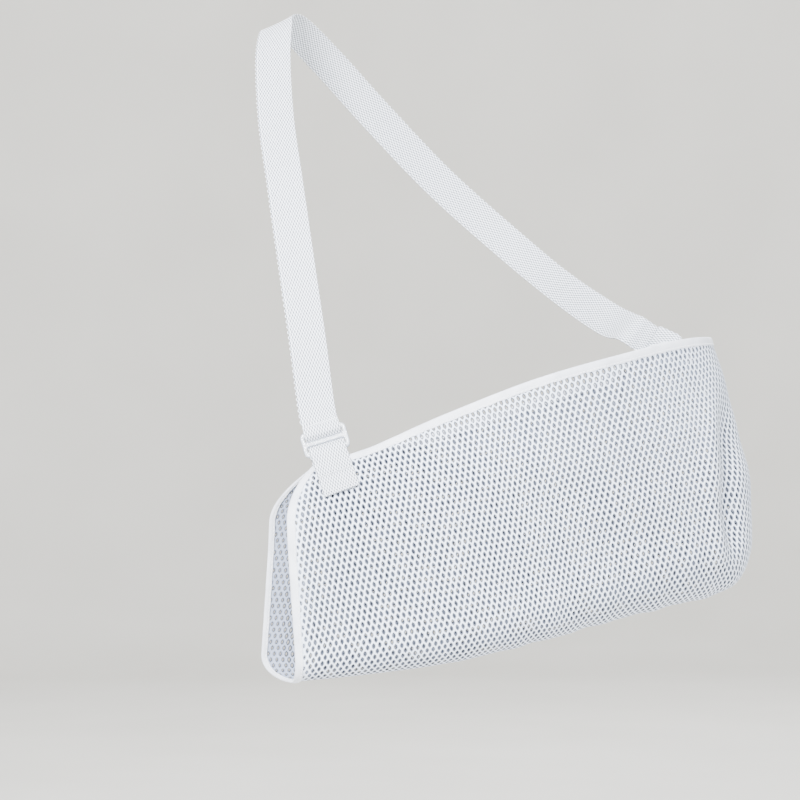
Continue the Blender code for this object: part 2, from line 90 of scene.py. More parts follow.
# Strap centre line from the slider over the shoulder to the elbow corner, with the face's outward normal.
STRAP_FRONT = (
    (0.0355, -0.1565, -0.322, 0.0, -1.0, 0.35),
    (0.0292, -0.1490, -0.275, 0.0, -1.0, 0.33),
    (0.0191, -0.1290, -0.209, 0.0, -1.0, 0.33),
    (0.0087, -0.1030, -0.141, 0.0, -1.0, 0.42),
    (0.0007, -0.0745, -0.089, -0.06, -1.0, 0.60),
    (-0.0035, -0.0390, -0.036, -0.16, -1.0, 0.95),
)
STRAP_BACK = (
    (-0.0025, -0.0150, -0.0070, -0.35, -0.60, 1.0),
    (0.0, 0.0, 0.00075, -0.45, 0.00, 0.9),
    (0.0120, 0.0220, 0.0000, -0.42, 0.35, 0.9),
    (0.0420, 0.0600, -0.0270, -0.25, 0.80, 0.65),
    (0.0850, 0.0900, -0.0720, -0.12, 1.00, 0.42),
    (0.1400, 0.1080, -0.1280, 0.05, 1.00, 0.25),
    (0.2000, 0.1040, -0.1820, 0.25, 1.00, 0.12),
    (0.2480, 0.0750, -0.2240, 0.50, 0.85, 0.00),
    (0.2860, 0.0340, -0.2530, 0.40, 0.85, -0.25),
)

# -------- what the real cloth adds

# The hand opening's edges, moved along the forearm: so much at the mouth, and so much more at the fold.
FRONT_SHIFT, REAR_SHIFT = (-0.001, 0.0083), (-0.0145, -0.0145)
SHIFT_W = 0.30  # where along the forearm that shift has faded out

# The crease that the elbow presses into the front panel: its x at CREASE_Z and its slope below that, the
# heights between which it fades in and out, its depth, and the ridge on its hand side.
CREASE_X, CREASE_Z, CREASE_SLOPE = 0.381, -0.40, 0.10
CREASE_TOP, CREASE_LOW, CREASE_FADE = -0.305, -0.478, 0.05
CREASE_DEPTH, CREASE_WIDTH = 0.0075, 0.0080
RIDGE_HEIGHT, RIDGE_WIDTH, RIDGE_AWAY = 0.0026, 0.008, 0.016

# Slack, as waves over (x, z): height, waves along x, waves along z, start, and start by panel.
FLUTES = ((0.0005, 150, 40, 0.0, 0.6), (0.0003, 283, -60, 1.9, 0.0))
SWELLS = ((0.0010, 52, 75, 0.0, 2.0), (0.0006, 30, -118, 0.7, 0.0))

# The net: holes in rows that run along the forearm, each row half a hole further on than the one below.
HOLE_PITCH, HOLE_ROWS = 0.00455, 0.00466  # along a row, and from row to row
HOLE_HALF, HOLE_LIP = (0.00066, 0.00145), (0.00140, 0.00250)  # half sizes of a hole, and of its rounded lip
TIGHT, TIGHT_OVER = 0.72, 0.04  # the share of a hole's size that is left beside the hand opening
PITCH_CHANGE = 0.172  # the cloth is pulled wider at the hand than in the middle
ELBOW_PULL, ELBOW_PULL_FROM, ELBOW_PULL_OVER = 0.33, 0.02, 0.08  # and wider again round the elbow
GRAIN_SLOPE, HAND_SKEW, HAND_SKEW_FROM = 0.045, 0.65, -0.02  # the rows climb from the hand to the elbow
LEAN = math.tan(math.radians(16))  # the columns of holes lean towards the hand
STRAND = 0.0003  # how far a strand's ridge stands out of the cloth
LIP_SHARE, RIM_DEPTH = 0.80, 1.5  # height of the lip, and depth of the hole's rim, in strands
LIP_SHADE = 0.76  # the painted shade at the lip: the share of a strand's painted brightness left there

# Tapes: the folded tape is narrower than part.py's plain one, and narrower still by the rear panel's hand.
TAPE_EDGE, TAPE_SEWN = 0.0066, 0.0052  # from the cloth's edge to the tape's edge, and to its stitches
TAPE_STEP = 0.0011  # between the sections of a tape
TAPE_FACE = 0.00085  # from the cloth's middle to the tape's face
REAR_TAPE_SHARE = 0.62
STITCH, STITCH_GAP, THREAD_R = 0.0024, 0.0009, 0.00030

# Webbing: a relief of floats, each face's floats lying over the other's dips.
WEAVE_ACROSS, WEAVE_ALONG = 13, 0.00233  # floats across the width, and a float's length
WEB_BODY, WEB_RELIEF, WEB_SCALLOP = 0.00056, 0.00034, (0.00048, 0.00018)
LOOP_TALL = 0.0061  # the folded tab stands a little above the bar that it holds
TAB_HEM = 0.0032  # from the tab's end to its lower row of stitches
TAB_CREASE = TAB_DROP - 0.0165  # where the upper row of stitches pulls the tab in

SMALL = 1e-9
TABLE_STEP = 0.002  # of the tables that turn lengths of cloth into places on it
GRID_U, GRID_V = 560, 300  # of the tables of the cloth's surface


# -------- small vector helpers


def unit(a):
    return a / np.maximum(np.linalg.norm(a, axis=-1, keepdims=True), 1e-12)


def spline(rows, w):
    """Catmull-Rom values at each w, from 0 to 1, over evenly spaced rows."""
    rows = np.asarray(rows, float)
    w = np.asarray(w, float)
    last = len(rows) - 1
    i = np.clip((w * last).astype(int), 0, last - 1)
    t = (w * last - i)[..., None]
    b, c = rows[i], rows[i + 1]
    a = np.where((i == 0)[..., None], 2 * b - c, rows[np.maximum(i - 1, 0)])
    d = np.where((i == last - 1)[..., None], 2 * c - b, rows[np.minimum(i + 2, last)])
    return b + 0.5 * ((c - a) * t + (2 * a - 5 * b + 4 * c - d) * t**2 + (3 * b - a - 3 * c + d) * t**3)


def gauss(x, width):
    return np.exp(-((x / width) ** 2))


def lengths(line):
    """How far along a line of points each one lies."""
    return np.concatenate([[0], np.cumsum(np.linalg.norm(np.diff(line, axis=0), axis=1))])


def bilinear(table, x, y):
    """Values of a table of rows at fractional row x and column y."""
    i = np.clip(np.floor(x).astype(int), 0, table.shape[0] - 2)
    j = np.clip(np.floor(y).astype(int), 0, table.shape[1] - 2)
    s, t = x - i, y - j
    if table.ndim == 3:
        s, t = s[..., None], t[..., None]
    low = table[i, j] * (1 - t) + table[i, j + 1] * t
    high = table[i + 1, j] * (1 - t) + table[i + 1, j + 1] * t
    return low * (1 - s) + high * s


def extended(x, xs, values):
    """np.interp that runs on in a straight line past both ends."""
    y = np.interp(x, xs, values)
    low = (values[1] - values[0]) / max(xs[1] - xs[0], SMALL)
    high = (values[-1] - values[-2]) / max(xs[-1] - xs[-2], SMALL)
    y = np.where(x < xs[0], values[0] + (x - xs[0]) * low, y)
    return np.where(x > xs[-1], values[-1] + (x - xs[-1]) * high, y)


# -------- the pouch's surface


def middle(w, t):
    """Plan points of the pouch's middle plane, at w along the forearm and t down the wall."""
    row = spline(STATIONS, w)
    corner = CORNER_X * np.maximum(0, 1 - t / CORNER_T) ** 2 * np.maximum(0, 1 - w / CORNER_W) ** 2
    x = row[..., 0] * (1 - t) + row[..., 2] * t + corner
    y = row[..., 1] * (1 - t) + row[..., 3] * t
    return np.stack([x, y], -1)


def panel(u, v, side):
    """Centre surface of a panel: u from the hand to the elbow seam, v from the mouth to the fold."""
    u, v = np.broadcast_arrays(np.asarray(u, float), np.asarray(v, float))
    turn = np.maximum(0, (u - NOSE_U) / (1 - NOSE_U)) * math.pi / 2
    w = np.minimum(u / NOSE_U, 1) * NOSE_W + (1 - NOSE_W) * np.sin(turn)
    t = np.minimum(v / WALL_V, 1)
    under = np.maximum(0, (v - WALL_V) / (1 - WALL_V)) * math.pi / 2
    row = spline(STATIONS, w)
    ahead = np.minimum(w + 0.001, 1)
    along = unit(middle(ahead, t) - middle(ahead - 0.002, t))
    normal = np.stack([along[..., 1], -along[..., 0]], -1)
    spread = row[..., 5] + (1 - row[..., 5]) * np.sin(math.pi / 2 * np.clip(t / 0.5, 0, 1))
    plan = middle(w, t) - side * normal * (row[..., 4] * spread * np.cos(turn))[..., None]
    top, down = FRONT_SHIFT if side == FRONT else REAR_SHIFT
    shift = top + down * t
    fade = np.maximum(0, 1 - w / SHIFT_W) ** 2 * np.sin(math.pi / 2 * np.clip(t / CORNER_T, 0, 1))
    bulge = ELBOW_BULGE * np.sin(math.pi * t) * np.maximum(0, (w - BULGE_W) / (1 - BULGE_W)) ** 2
    plan = plan + np.stack([shift * fade + bulge, 0 * w], -1)
    mouth = row[..., 6] if side == FRONT else row[..., 7]
    z = mouth + (row[..., 8] + row[..., 9] - mouth) * t
    w_spine = np.minimum(w, NOSE_W)
    spine = middle(w_spine, np.ones_like(t))
    z_spine = spline(STATIONS, w_spine)[..., 8]
    turned = spine + (plan - spine) * np.cos(under)[..., None]
    plan = np.where((under > 0)[..., None], turned, plan)
    z = np.where(under > 0, z_spine + (z - z_spine) * (1 - np.sin(under)), z)
    return np.concatenate([plan, z[..., None]], -1)


def waves(rows, x, z, side):
    return sum(h * np.sin(x * a + z * b + start + by_panel * side) for h, a, b, start, by_panel in rows)


def folds(p, u, v, side):
    """How far the worn cloth lies outside (or inside) the smooth panel: its creases, bulges and slack."""
    x, z = p[..., 0], p[..., 2]
    away = np.clip((u - 0.25) / 0.2, 0, 1)  # the hand end and the tab lie smooth
    out = np.zeros_like(x)
    if side == FRONT:
        line = CREASE_X + CREASE_SLOPE * np.clip(CREASE_Z - z, 0, 1)
        reach = np.clip((CREASE_TOP - z) / CREASE_FADE, 0, 1) * np.clip((z - CREASE_LOW) / CREASE_FADE, 0, 1)
        reach = reach * reach * (3 - 2 * reach) * (u > 0.5)
        out -= CREASE_DEPTH * gauss(x - line, CREASE_WIDTH) * reach
        out += RIDGE_HEIGHT * gauss(x - line + RIDGE_AWAY, RIDGE_WIDTH) * reach
    low = np.clip((v - 0.55) / 0.3, 0, 1)  # flutes only near the fold
    soft = np.sin(math.pi * np.clip(v, 0, 1))  # no swells at the mouth or the fold
    return out + away * (low * waves(FLUTES, x, z, side) + soft * waves(SWELLS, x, z, side))


def normals_of(p, side):
    """Outward normals of a panel's grid of points."""
    across = np.gradient(p, axis=0)
    down = np.gradient(p, axis=1)
    down[-1, -1] = down[-1, -2]  # the step at the seam's foot has no length
    return unit(side * np.cross(across, down))


def make_surface(side):
    """Tables of a panel's folded surface and of its normals."""
    u, v = np.meshgrid(np.linspace(0, 1, GRID_U + 1), np.linspace(0, 1, GRID_V + 1), indexing="ij")
    p = panel(u, v, side)
    p = p + normals_of(p, side) * folds(p, u, v, side)[..., None]
    return p, normals_of(p, side)


SURFACE = {side: make_surface(side) for side in (FRONT, REAR)}


def on_cloth(u, v, side, offset=0.0):
    """Points of the folded cloth at (u, v), offset outside it, and its normals there."""
    u, v = np.broadcast_arrays(np.clip(u, 0, 1), np.clip(v, 0, 1))
    p, n = (bilinear(t, u * GRID_U, v * GRID_V) for t in SURFACE[side])
    n = unit(n)
    return p + n * np.asarray(offset)[..., None], n


def find_on_panel(x, z, side):
    """The (u, v) of the smooth panel seen at (x, z) from the front."""
    x, z = np.broadcast_arrays(np.asarray(x, float), np.asarray(z, float))
    u, v, step = np.full(x.shape, 0.1), np.full(x.shape, 0.2), 0.002
    for _ in range(14):
        here = panel(u, v, side)
        du = (panel(u + step, v, side) - here) / step
        dv = (panel(u, v + step, side) - here) / step
        det = du[..., 0] * dv[..., 2] - du[..., 2] * dv[..., 0]
        ex, ez = x - here[..., 0], z - here[..., 2]
        u = np.clip(u + (ex * dv[..., 2] - ez * dv[..., 0]) / det, 0.0, 0.6)
        v = np.clip(v + (du[..., 0] * ez - du[..., 2] * ex) / det, 0.0, WALL_V)
    return u, v


def over_panel(x, z, side, offset):
    """Points seen at (x, z) from the front that stand offset outside the panel."""
    u, v = find_on_panel(x, z, side)
    p, n = on_cloth(u, v, side)
    depth = offset / np.maximum(np.abs(n[..., 1]), 0.5)
    return np.stack(np.broadcast_arrays(x, p[..., 1] + side * depth, z), -1)


# -------- objects and materials


def new_object(name, points, faces, material, uv=None):
    """A mesh object from arrays: points (n, 3), faces (m, k) and, if given, uv (n, 2)."""
    mesh = bpy.data.meshes.new(name)
    faces = np.asarray(faces, np.int32)
    count, corners = faces.shape
    mesh.vertices.add(len(points))
    mesh.vertices.foreach_set("co", np.asarray(points, np.float32).ravel())
    mesh.loops.add(count * corners)
    mesh.loops.foreach_set("vertex_index", faces.ravel())
    mesh.polygons.add(count)
    mesh.polygons.foreach_set("loop_start", np.arange(count, dtype=np.int32) * corners)
    mesh.polygons.foreach_set("use_smooth", np.ones(count, bool))
    if uv is not None:
        layer = mesh.uv_layers.new(name="cloth_mm")
        layer.data.foreach_set("uv", np.asarray(uv, np.float32)[faces.ravel()].ravel())
    mesh.update(calc_edges=True)
    mesh.validate()
    mesh.materials.append(material)
    obj = bpy.data.objects.new(name, mesh)
    bpy.context.scene.collection.objects.link(obj)
    return obj


def grid_faces(rows, columns, start=0, closed=False):
    """Quads of a grid of points. A closed grid joins its last column to its first."""
    i, j = np.meshgrid(np.arange(rows - 1), np.arange(columns if closed else columns - 1), indexing="ij")
    k = (j + 1) % columns
    here, after = i * columns, (i + 1) * columns
    return start + np.stack([here + j, here + k, after + k, after + j], -1).reshape(-1, 4)


class Nodes:
    """Short calls for a material's node tree."""

    def __init__(self, name, colour, roughness):
        self.material = bpy.data.materials.new(name)
        self.material.use_nodes = True
        self.material.diffuse_color = (*colour, 1)
        self.tree = self.material.node_tree
        self.shader = self.tree.nodes["Principled BSDF"]
        self.shader.inputs["Base Color"].default_value = (*colour, 1)
        self.shader.inputs["Roughness"].default_value = roughness

    def add(self, kind, inputs=(), **settings):
        """A new node. inputs gives each socket a value, or another node's output to link to it."""
        node = self.tree.nodes.new("ShaderNode" + kind)
        for key, value in settings.items():
            setattr(node, key, value)
        for socket, value in dict(inputs).items():
            target = node.inputs[socket]
            if isinstance(value, bpy.types.NodeSocket):
                self.tree.links.new(value, target)
            else:
                target.default_value = value
        return node

    def link(self, output, socket):
        self.tree.links.new(output, self.shader.inputs[socket])

    def set(self, socket, value):
        self.shader.inputs[socket].default_value = value

    def ramp(self, factor, stops):
        """A colour ramp with (place, colour) stops."""
        node = self.add("ValToRGB", {0: factor})
        ramp = node.color_ramp
        ramp.elements[0].position, ramp.elements[0].color = stops[0][0], (*stops[0][1], 1)
        ramp.elements[1].position, ramp.elements[1].color = stops[-1][0], (*stops[-1][1], 1)
        for place, colour in stops[1:-1]:
            ramp.elements.new(place).color = (*colour, 1)
        return node.outputs[0]

    def math(self, operation, a, b=0.0):
        return self.add("Math", {0: a, 1: b}, operation=operation).outputs[0]

    def bump(self, height, strength, distance, before=None):
        inputs = {"Height": height, "Strength": strength, "Distance": distance}
        if before is not None:
            inputs["Normal"] = before
        return self.add("Bump", inputs).outputs[0]


def noise(nodes, vector, scale, detail, roughness=0.5):
    inputs = {"Vector": vector, "Scale": scale, "Detail": detail, "Roughness": roughness}
    return nodes.add("TexNoise", inputs).outputs[0]


def stripes(nodes, vector, scale, distortion, direction, detail=2.0, fine=1.0):
    inputs = {"Vector": vector, "Scale": scale, "Distortion": distortion, "Detail": detail}
    wave = nodes.add("TexWave", {**inputs, "Detail Scale": fine}, bands_direction=direction)
    return wave.outputs["Fac"]


def cloth_coordinates(nodes):
    """The piece's own cloth coordinates in millimetres, and the place in space in metres."""
    uv = nodes.add("UVMap", uv_map="cloth_mm").outputs[0]
    place = nodes.add("TexCoord").outputs["Object"]
    return uv, place


def mesh_material():
    """Warp-knit polyester: cool white, fine loops along every strand, faint shading from handling, painted
    shade deep in every hole and painted shade over the inner face.
    """
    nodes = Nodes("mesh_fabric_knit", (0.83, 0.86, 0.91), 0.72)
    uv, place = cloth_coordinates(nodes)
    blotch = noise(nodes, place, 24.0, 3.0, 0.6)
    fibre = noise(nodes, uv, 1.9, 4.0, 0.7)
    mixed = nodes.math("ADD", nodes.math("MULTIPLY", blotch, 0.55), nodes.math("MULTIPLY", fibre, 0.45))
    flecks = ((0.30, (0.90, 0.91, 0.93)), (0.50, (0.97, 0.97, 0.98)), (0.70, (1.0, 1.0, 1.0)))
    fleck = nodes.ramp(mixed, flecks)
    # Painted shade: the strand attribute runs from 1 on the ridge to 0 at the hole's rim, and the ramp below
    # paints the lip and wall dark as the shade that falls into each hole.
    strand = nodes.add("Attribute", attribute_name="strand").outputs["Fac"]
    painted_hole_shade = (
        (0.0, (0.035, 0.042, 0.06)),  # the hole's wall, painted darkest as the shade deep in the hole
        (0.60, (0.10, 0.115, 0.155)),
        (0.84, (0.62, 0.69, 0.83)),
        (1.0, (0.80, 0.87, 0.985)),  # the strand's ridge, painted brightest
    )
    depth = nodes.ramp(strand, painted_hole_shade)
    face = nodes.add("VectorMath", {0: fleck, 1: depth}, operation="MULTIPLY").outputs[0]
    # Painted shade: the cloth's inner face is painted greyer, standing in for the shade inside the pouch.
    inside = nodes.add("NewGeometry").outputs["Backfacing"]
    painted_inner_shade = nodes.ramp(inside, ((0.0, (1.0, 1.0, 1.0)), (1.0, (0.40, 0.42, 0.48))))
    nodes.link(nodes.add("VectorMath", {0: face, 1: painted_inner_shade}, operation="MULTIPLY").outputs[0], "Base Color")
    nodes.link(nodes.math("ADD", nodes.math("MULTIPLY", fibre, 0.25), 0.58), "Roughness")
    loops = stripes(nodes, uv, 0.42, 1.6, "Y", fine=1.2)
    yarn = nodes.bump(loops, 0.55, 0.00022)
    nodes.link(nodes.bump(fibre, 0.35, 0.00015, yarn), "Normal")
    nodes.set("Sheen Weight", 0.25)
    nodes.set("Sheen Roughness", 0.45)
    nodes.set("Specular IOR Level", 0.35)
    return nodes.material


def tape_material():
    """Folded binding tape: close ribs across it and a soft shine."""
    nodes = Nodes("binding_tape_ribbed", (0.87, 0.89, 0.94), 0.55)
    uv, place = cloth_coordinates(nodes)
    ribs = stripes(nodes, uv, 0.50, 0.5, "X", 1.0)
    warp = stripes(nodes, uv, 0.78, 0.6, "Y", 1.0)
    blotch = noise(nodes, place, 60.0, 3.0)
    colour = nodes.ramp(blotch, ((0.32, (0.58, 0.61, 0.69)), (0.62, (0.70, 0.73, 0.81))))
    nodes.link(colour, "Base Color")
    nodes.link(nodes.math("ADD", nodes.math("MULTIPLY", blotch, 0.2), 0.45), "Roughness")
    nodes.link(nodes.bump(warp, 0.35, 0.0001, nodes.bump(ribs, 0.5, 0.00014)), "Normal")
    nodes.set("Sheen Weight", 0.15)
    return nodes.material


def web_material():
    """Spun polypropylene webbing: each float shows its filaments, with painted shade in the gaps between
    floats.
    """
    nodes = Nodes("webbing_weave", (0.88, 0.89, 0.92), 0.62)
    uv = cloth_coordinates(nodes)[0]
    parts = nodes.add("SeparateXYZ", {0: uv})
    across = nodes.math("COSINE", nodes.math("MULTIPLY", parts.outputs[0], 2 * math.pi))
    along = nodes.math("COSINE", nodes.math("MULTIPLY", parts.outputs[1], math.pi))
    floats = nodes.math("MULTIPLY", nodes.math("MULTIPLY", across, along), 0.5)
    weave = nodes.math("ADD", floats, 0.5)
    spun = noise(nodes, uv, 2.2, 4.0, 0.65)
    mixed = nodes.math("ADD", nodes.math("MULTIPLY", weave, 0.7), nodes.math("MULTIPLY", spun, 0.45))
    # Painted shade: the gaps between floats are painted dark grey and the floats light, with the filaments'
    # own tone from spun mixed in.
    stops = ((0.28, (0.07, 0.08, 0.11)), (0.52, (0.36, 0.39, 0.45)), (0.80, (0.86, 0.90, 0.97)))
    nodes.link(nodes.ramp(mixed, stops), "Base Color")
    nodes.link(nodes.math("ADD", nodes.math("MULTIPLY", spun, 0.25), 0.45), "Roughness")
    yarns = stripes(nodes, uv, 1.9, 1.2, "X")
    nodes.link(nodes.bump(spun, 0.3, 0.0001, nodes.bump(yarns, 0.5, 0.00012)), "Normal")
    nodes.set("Sheen Weight", 0.2)
    nodes.set("Specular IOR Level", 0.45)
    return nodes.material


def thread_material():
    """Twisted polyester thread."""
    nodes = Nodes("sewing_thread", (0.86, 0.87, 0.90), 0.5)
    place = nodes.add("TexCoord").outputs["Object"]
    twist = stripes(nodes, place, 520.0, 1.0, "DIAGONAL")
    nodes.link(nodes.ramp(twist, ((0.0, (0.72, 0.75, 0.80)), (1.0, (0.90, 0.92, 0.95)))), "Base Color")
    nodes.link(nodes.bump(twist, 0.6, 0.0001), "Normal")
    nodes.set("Sheen Weight", 0.1)
    return nodes.material


def plastic_material():
    """Clear moulded plastic, a little milky, with fine scratches."""
    nodes = Nodes("slider_clear_plastic", (0.58, 0.63, 0.71), 0.22)
    place = nodes.add("TexCoord").outputs["Object"]
    scratch = noise(nodes, place, 900.0, 3.0, 0.6)
    cloud = noise(nodes, place, 90.0, 2.0)
    nodes.link(nodes.math("ADD", nodes.math("MULTIPLY", scratch, 0.22), 0.30), "Roughness")
    nodes.link(nodes.ramp(cloud, ((0.3, (0.52, 0.57, 0.66)), (0.7, (0.64, 0.69, 0.77)))), "Base Color")
    nodes.link(nodes.bump(scratch, 0.08, 0.0001), "Normal")
    nodes.set("Transmission Weight", 0.6)
    nodes.set("IOR", 1.46)
    nodes.set("Coat Weight", 0.1)
    return nodes.material


MESH, TAPE, WEB = mesh_material(), tape_material(), web_material()
THREAD, PLASTIC = thread_material(), plastic_material()


# -------- the mesh cloth


def cloth_tables(side):
    """Tables of (u, v) over the cloth's own lengths: c along the forearm, d up from the fold."""
    us, vs = np.linspace(0, 1, GRID_U + 1), np.linspace(0, 1, GRID_V + 1)
    steps = np.linalg.norm(np.diff(SURFACE[side][0], axis=1), axis=2)
    rise = np.concatenate([np.zeros((GRID_U + 1, 1)), np.cumsum(steps[:, ::-1], axis=1)], 1)
    ds, cs = np.arange(0, 0.262, TABLE_STEP), np.arange(-0.26, 0.34, TABLE_STEP)
    u_table, v_table = np.zeros((len(ds), len(cs))), np.zeros((len(ds), len(cs)))
    middle_u = round(0.45 * GRID_U)
    for k, d in enumerate(ds):
        v = np.array([extended(np.array([d]), r, vs[::-1])[0] for r in rise])
        run = lengths(on_cloth(us, v, side)[0])
        u_table[k] = extended(cs, run - run[middle_u], us)
        v_table[k] = extended(u_table[k], us, v)
    return cs[0], u_table, v_table


def stretched(index):
    """Length along the forearm of a column's index: the cloth is pulled at the hand and round the elbow."""
    run = index * HOLE_PITCH
    pulled = np.maximum(run - ELBOW_PULL_FROM, 0)
    near = np.minimum(pulled, ELBOW_PULL_OVER)
    more = ELBOW_PULL * (near**2 / (2 * ELBOW_PULL_OVER) + pulled - near)
    return (np.sqrt(1 + 4 * PITCH_CHANGE * run) - 1) / (2 * PITCH_CHANGE) + more


def skewed(c):
    """How far a row has climbed above the fold's own direction at c: the grain isn't square to the fold."""
    return GRAIN_SLOPE * c - HAND_SKEW * np.maximum(HAND_SKEW_FROM - c, 0) ** 2


def cell_shape():
    """A cell in lattice units: the hexagon round a hole, the hole's lip and rim, and the ridge's height."""
    side_y, tip_y = 0.3835, 0.6165
    hexagon = np.array([(0.5, side_y), (0.25, 0.5), (0, tip_y), (-0.25, 0.5), (-0.5, side_y)])
    lens = np.array([(0.97, 0.32), (0.54, 0.74), (0, 1.10), (-0.54, 0.74), (-0.97, 0.32)])
    ring, lens = np.concatenate([hexagon, -hexagon]), np.concatenate([lens, -lens])
    lip, rim = (lens * half / (HOLE_PITCH, HOLE_ROWS) for half in (HOLE_LIP, HOLE_HALF))
    return ring, lip, rim, np.array([0.95, 0.7, 0.95, 0.7, 0.95] * 2)


def cloth_panel(name, side):
    """A panel of open mesh, its strands raised round every hole."""
    first_c, u_table, v_table = cloth_tables(side)
    ring, lip, rim, ridge = cell_shape()
    rows = np.arange(-14, 60) if side == FRONT else np.arange(-60, 14)
    i, j = np.meshgrid(np.arange(-60, 70), rows, indexing="ij")
    i = (i + 0.5 * (j % 2)).ravel()
    j = j.ravel() + 0.5  # half a row up, so that the fold runs between rows

    def place(x, y):
        c = stretched(x)
        d = y * HOLE_ROWS + skewed(c)
        c = c - LEAN * y * HOLE_ROWS
        row, column = -side * d / TABLE_STEP, (c - first_c) / TABLE_STEP
        return bilinear(u_table, row, column), bilinear(v_table, row, column), c, d

    u, v, _, _ = place(i, j)
    keep = (u > 0.001) & (u < 0.999) & (v > 0.002) & (v <= 1.03)
    i, j, u = i[keep], j[keep], u[keep]
    size = np.clip(TIGHT + (u - TAPE_U) / TIGHT_OVER, TIGHT, 1)[:, None, None]
    centre = np.stack([i, j], -1)[:, None, :]
    layers = np.stack([centre + ring, centre + lip * size, centre + rim * size], 1)  # cells, 3, 10, 2
    heights = np.stack([ridge * STRAND, ridge * STRAND * LIP_SHARE, ridge * 0 - STRAND * RIM_DEPTH])
    height = np.broadcast_to(heights, layers.shape[:3])
    # Painted shade level for the material: 1 on the ridge, LIP_SHADE on the lip and 0 at the hole's rim,
    # where the material paints the hole's shade.
    strand = np.broadcast_to(np.array((1, LIP_SHADE, 0))[:, None], layers.shape[:3])

    # Neighbours share the points on their hexagons.
    flat = layers.reshape(-1, 2)
    keys, index = np.unique(np.round(flat * 1000).astype(np.int64), axis=0, return_inverse=True)
    index = index.reshape(-1)
    first = np.zeros(len(keys), int)
    first[index[::-1]] = np.arange(len(flat))[::-1]
    flat, height, strand = flat[first], height.reshape(-1)[first], strand.reshape(-1)[first]
    u, v, c, d = place(flat[:, 0], flat[:, 1])
    points, _ = on_cloth(u, v, side, height)
    order = index.reshape(len(i), 3, len(ring))
    turned = np.roll(order, -1, axis=2)
    faces = np.stack([order[:, :2], turned[:, :2], turned[:, 1:], order[:, 1:]], -1).reshape(-1, 4)
    corners = points[faces]
    diagonals = corners[:, 2] - corners[:, 0], corners[:, 3] - corners[:, 1]
    faces = faces[np.linalg.norm(np.cross(*diagonals), axis=1) / 2 > SMALL]  # none flattened at an edge
    used, inverse = np.unique(faces, return_inverse=True)
    uv = np.stack([c, d], -1)[used] * 1000
    obj = new_object(name, points[used], inverse.reshape(-1, 4), MESH, uv=uv)
    # The painted shade level goes to the material as the strand attribute.
    values = obj.data.attributes.new("strand", "FLOAT", "POINT").data
    values.foreach_set("value", strand[used].astype(np.float32))
    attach(obj, "pouch")
    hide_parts("mesh_pouch")
    return obj


# -------- tapes and stitches


def evenly(values, count, line):
    """Values along a line, taken again at count evenly spaced places, and the line's length."""
    run = lengths(line)
    where = np.linspace(0, run[-1], count)
    columns = [np.interp(where, run, values[:, k]) for k in range(values.shape[1])]
    return np.stack(columns, -1), run[-1]


def edge_sections(u, v, side, u_in, v_in):
    """Edge points of a panel, directions into it, outward normals."""
    edge, out = on_cloth(u, v, side)
    inner, _ = on_cloth(u_in, v_in, side)
    into = unit(inner - edge)
    out = unit(out - into * (out * into).sum(-1, keepdims=True))
    return np.concatenate([edge, into, out], -1)


# The folded tape's outline, from its front edge to its fold: into the panel, and out of it, in millimetres.
TAPE_OUTLINE = (
    (6.60, 0.50), (6.62, 0.82), (6.30, 0.95), (5.60, 0.86), (5.20, 0.84), (4.80, 0.88), (4.00, 1.12),
    (3.00, 1.26), (1.80, 1.30), (0.60, 1.30), (-0.20, 1.18), (-0.70, 0.75), (-0.86, 0.0),
)  # fmt: skip
TAPE_INSIDE = ((-0.25, 0.0), (0.2, 0.75), (2.6, 0.85), (5.8, 0.45))


def tape_outline():
    outer = [*TAPE_OUTLINE, *[(a, -b) for a, b in TAPE_OUTLINE[-2::-1]]]
    inner = [(a, -b) for a, b in TAPE_INSIDE[:0:-1]] + list(TAPE_INSIDE)
    return np.array(outer + inner) / 1000


def share_of(frames):
    """The share of the tape's width at each section, from the frames' tenth column if there is one."""
    return frames[:, 9:] if frames.shape[1] > 9 else 1.0


def edge_tape(name, frames, node, slip):
    """Binding tape folded over an edge, a little wavy where the stitches pull it in."""
    count = int(lengths(frames[:, :3])[-1] / TAPE_STEP)
    frames, total = evenly(frames, count, frames[:, :3])
    edge, into, out = frames[:, None, :3], unit(frames[:, 3:6])[:, None], unit(frames[:, 6:9])[:, None]
    outline = tape_outline()
    a, b = outline[:, 0][None, :], outline[:, 1][None, :]
    s = np.linspace(0, total, count)[:, None]
    pull = gauss(a - TAPE_SEWN, 0.0012) * (0.5 + 0.5 * np.cos(2 * math.pi * s / (STITCH + STITCH_GAP)))
    b = b - np.sign(b) * pull * 0.00022
    a = a + 0.00022 * np.sin(s * 410 + slip) * gauss(a - TAPE_EDGE, 0.002)
    b = b + np.sign(b) * 0.00016 * np.sin(s * 260 + 1.3 + slip) * gauss(a - 0.002, 0.003)
    a = np.where(a > 0, a * share_of(frames), a)
    points = edge + into * a[..., None] + out * b[..., None]
    n = len(outline)
    girth = lengths(outline)
    uv = np.stack(np.broadcast_arrays(s * 1000, girth[None, :] * 1000), -1)
    faces = grid_faces(count, n, closed=True)
    obj = new_object(name, points.reshape(-1, 3), faces[:, ::-1], TAPE, uv=uv.reshape(-1, 2))
    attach(obj, "pouch")
    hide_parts(node)


# A stitch: places along it, its thickness there, and how far it stands out of the cloth, in thread radii.
STITCH_PLACES = np.array((0.0, 0.08, 0.25, 0.5, 0.75, 0.92, 1.0))
STITCH_GIRTHS = np.array((0.35, 0.85, 1.0, 1.0, 1.0, 0.85, 0.35))
STITCH_RISES = np.array((-0.55, -0.1, 0.35, 0.5, 0.35, -0.1, -0.55))


